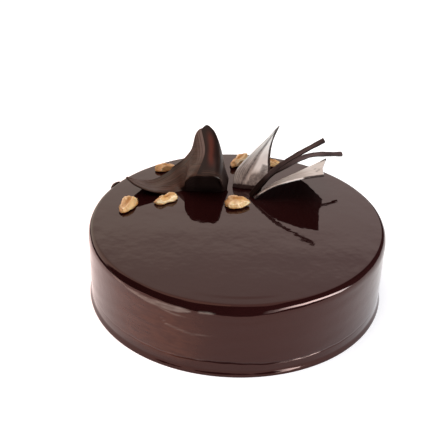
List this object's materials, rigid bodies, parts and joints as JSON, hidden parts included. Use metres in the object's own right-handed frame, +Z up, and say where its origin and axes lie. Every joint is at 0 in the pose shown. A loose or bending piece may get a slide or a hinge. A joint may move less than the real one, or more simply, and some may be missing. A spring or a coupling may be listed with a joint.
{
  "type": "brownie cake",
  "caption": "Round uncut brownie cake under a dark mirror glaze, with a chocolate wave, leaves, thin sticks and nut pieces on top.",
  "frame": {"origin": "middle of the cake's flat underside", "axes": "+Z up, +Y from the bare front towards the ornaments at the back, +X to the right of someone facing the front"},
  "size_m": [0.2331, 0.2321, 0.1103],
  "materials": {
    "mirror_glaze": "poured mirror glaze, very smooth",
    "dark_chocolate": "set tempered chocolate, satin with comb streaks",
    "leaf_chocolate": "brushed chocolate blade with a pale sheen",
    "nut": "toasted nut meat"
  },
  "bodies": {
    "root": {"cake_body": "mirror_glaze", "shoulder_drop": "dark_chocolate", "chocolate_wave": "dark_chocolate", "leaf_tall": "leaf_chocolate", "leaf_low": "leaf_chocolate", "stick_long": "dark_chocolate", "stick_short": "dark_chocolate", "nut_1": "nut", "nut_2": "nut", "nut_3": "nut", "nut_4": "nut", "nut_5": "nut", "nut_6": "nut"}
  },
  "joints": []
}
